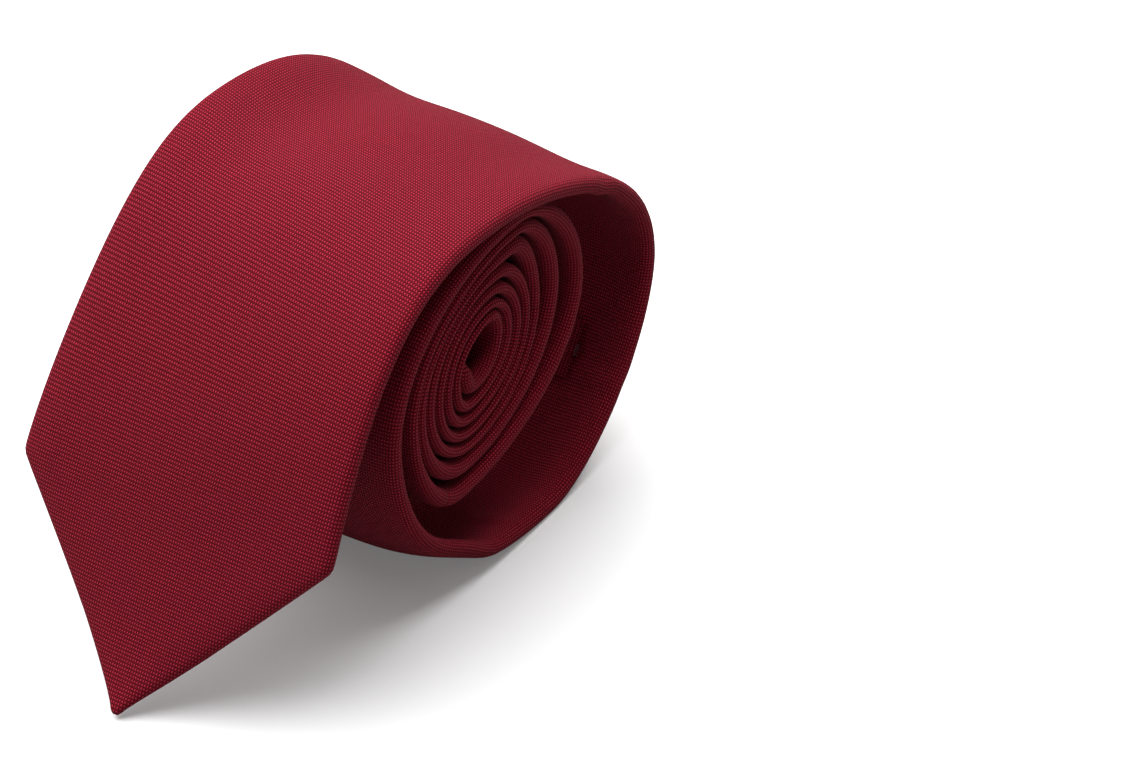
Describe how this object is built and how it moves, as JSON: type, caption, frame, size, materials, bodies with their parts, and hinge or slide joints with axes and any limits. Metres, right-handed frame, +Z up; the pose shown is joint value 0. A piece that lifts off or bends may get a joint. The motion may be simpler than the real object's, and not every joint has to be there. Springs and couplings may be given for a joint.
{
  "type": "necktie",
  "caption": "Necktie in plain-weave cloth, folded and slip-stitched over an interlining, rolled up from the narrow end with the wide blade hanging off the front",
  "frame": {"origin": "on the surface the tie lies on, below the middle of its bounding box", "axes": "+Z up, +Y from the hanging point of the wide blade towards the back of the roll, X across the width of the tie, along the roll's axis"},
  "size_m": [0.085, 0.162, 0.0995],
  "materials": {
    "shell_cloth": "wine-red plain weave cut on the bias, matt with a slight sheen",
    "interlining_wool": "brushed undyed wool interlining, matt",
    "tipping_satin": "thin wine-red lining satin, soft gloss",
    "sewing_thread": "twisted dark wine sewing thread, matt",
    "label_ribbon": "blank off-white label ribbon, matt"
  },
  "bodies": {
    "root": {"wide_blade_shell": "shell_cloth", "neck_shell": "shell_cloth", "narrow_blade_shell": "shell_cloth", "interlining": "interlining_wool", "wide_tipping": "tipping_satin", "narrow_tipping": "tipping_satin", "keeper_loop": "shell_cloth", "keeper_tacks": "sewing_thread", "care_label": "label_ribbon", "label_stitch": "sewing_thread", "slip_stitch": "sewing_thread", "slack_loop": "sewing_thread", "wide_bar_tack": "sewing_thread", "narrow_bar_tack": "sewing_thread", "wide_tipping_stitch": "sewing_thread", "narrow_tipping_stitch": "sewing_thread", "wide_neck_seam": "sewing_thread", "narrow_neck_seam": "sewing_thread"}
  },
  "joints": []
}
